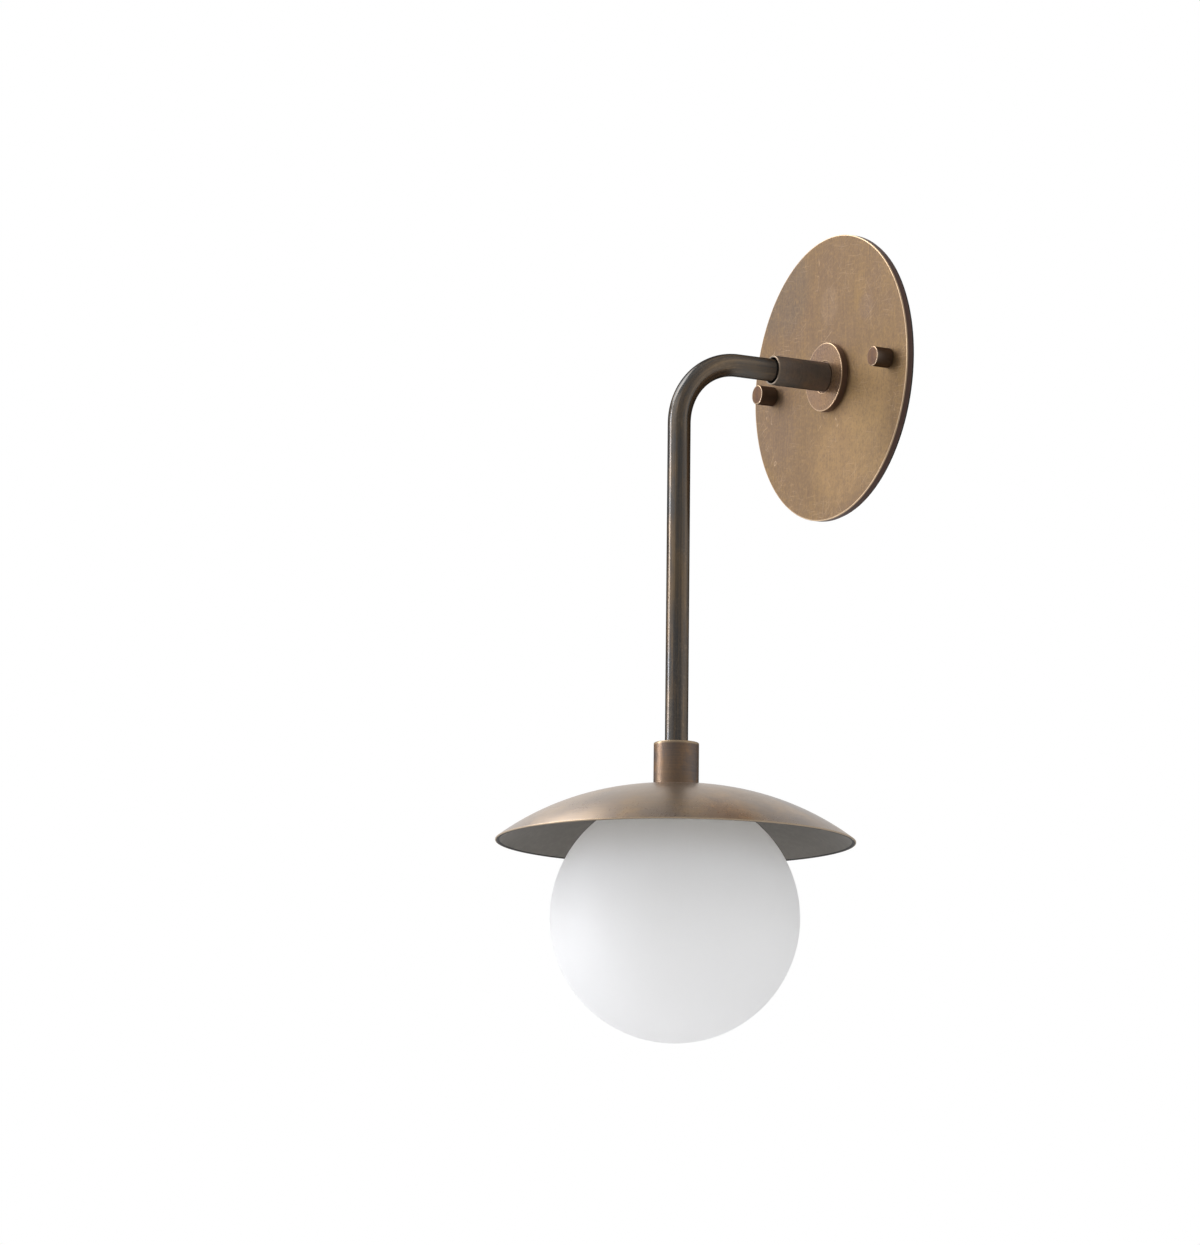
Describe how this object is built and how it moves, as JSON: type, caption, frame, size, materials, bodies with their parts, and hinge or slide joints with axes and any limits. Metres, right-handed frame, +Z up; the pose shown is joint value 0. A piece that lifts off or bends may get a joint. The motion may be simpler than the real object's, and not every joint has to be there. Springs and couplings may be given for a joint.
{
  "type": "wall sconce",
  "caption": "Wall sconce with a round backplate, a bent tube arm, a shallow dome shade and a frosted globe that hangs under it.",
  "frame": {"origin": "on the wall's face, in the middle of the backplate, on the axis of the arm's foot", "axes": "+Y into the wall, -Y into the room, +Z up, +X to the right of somebody who faces the wall"},
  "size_m": [0.156, 0.1749, 0.3615],
  "materials": {
    "plate_brass": "aged, brushed, waxed",
    "arm_brass": "dark bronze patina",
    "collar_brass": "aged, satin",
    "dome_brass": "aged outside, dark inside",
    "opal_glass": "acid-etched opal white",
    "zinc_steel": "bright zinc plate",
    "black_foam": "closed-cell foam",
    "clear_silicone": "silicone",
    "black_nylon": "moulded",
    "white_nylon": "moulded",
    "lampholder_ceramic": "unglazed steatite",
    "contact_nickel": "nickel plate",
    "plain_brass": "machined",
    "lamp_white": "moulded",
    "lamp_frost": "frosted",
    "board_white": "lacquered board",
    "brown_sleeving": "lead insulation",
    "blue_sleeving": "lead insulation",
    "green_yellow_sleeving": "lead insulation"
  },
  "bodies": {
    "sconce": {"wall_gasket": "black_foam", "backplate": "plate_brass", "rosette_disc": "plate_brass", "arm_sleeve": "arm_brass", "arm_nipple": "zinc_steel", "arm_washer": "zinc_steel", "arm_lock_nut": "zinc_steel", "nipple_bushing": "white_nylon", "arm_tube": "arm_brass", "shade_collar": "collar_brass", "shade_nipple": "zinc_steel", "dome_shade": "dome_brass", "globe_holder": "black_nylon", "lampholder_body": "lampholder_ceramic", "lampholder_screws": "zinc_steel", "lamp_contacts": "contact_nickel", "wall_bracket": "zinc_steel", "bracket_studs": "plain_brass", "stud_lock_nuts": "plain_brass", "terminal_block": "black_nylon", "terminal_inserts": "plain_brass", "terminal_clamp_screws": "zinc_steel", "terminal_block_screws": "zinc_steel", "earth_screw": "zinc_steel", "earth_tag": "contact_nickel", "live_lead": "brown_sleeving", "neutral_lead": "blue_sleeving", "earth_lead": "green_yellow_sleeving"},
    "globe_ring": {"globe_washer": "clear_silicone"},
    "globe": {"opal_globe": "opal_glass"},
    "lamp": {"lamp_base": "lamp_white", "lamp_pins": "contact_nickel", "lamp_cover": "lamp_frost", "lamp_board": "board_white"},
    "left_nut": {"barrel_nut_left": "collar_brass"},
    "right_nut": {"barrel_nut_right": "collar_brass"}
  },
  "joints": [
    {"name": "globe_drop", "type": "slide", "parent": "sconce", "child": "globe_ring", "axis": [0, 0, -1], "range_m": [0, 0.125]},
    {"name": "globe_turn", "type": "hinge", "parent": "globe_ring", "child": "globe", "pos_m": [0, -0.0803, -0.24453], "axis": [0, 0, -1], "range_deg": [0, 1080]},
    {"name": "lamp_pull", "type": "slide", "parent": "sconce", "child": "lamp", "axis": [0, 0, -1], "range_m": [0, 0.02]},
    {"name": "left_nut_off", "type": "slide", "parent": "sconce", "child": "left_nut", "axis": [0, -1, 0], "range_m": [0, 0.012]},
    {"name": "right_nut_off", "type": "slide", "parent": "sconce", "child": "right_nut", "axis": [0, -1, 0], "range_m": [0, 0.012]}
  ]
}
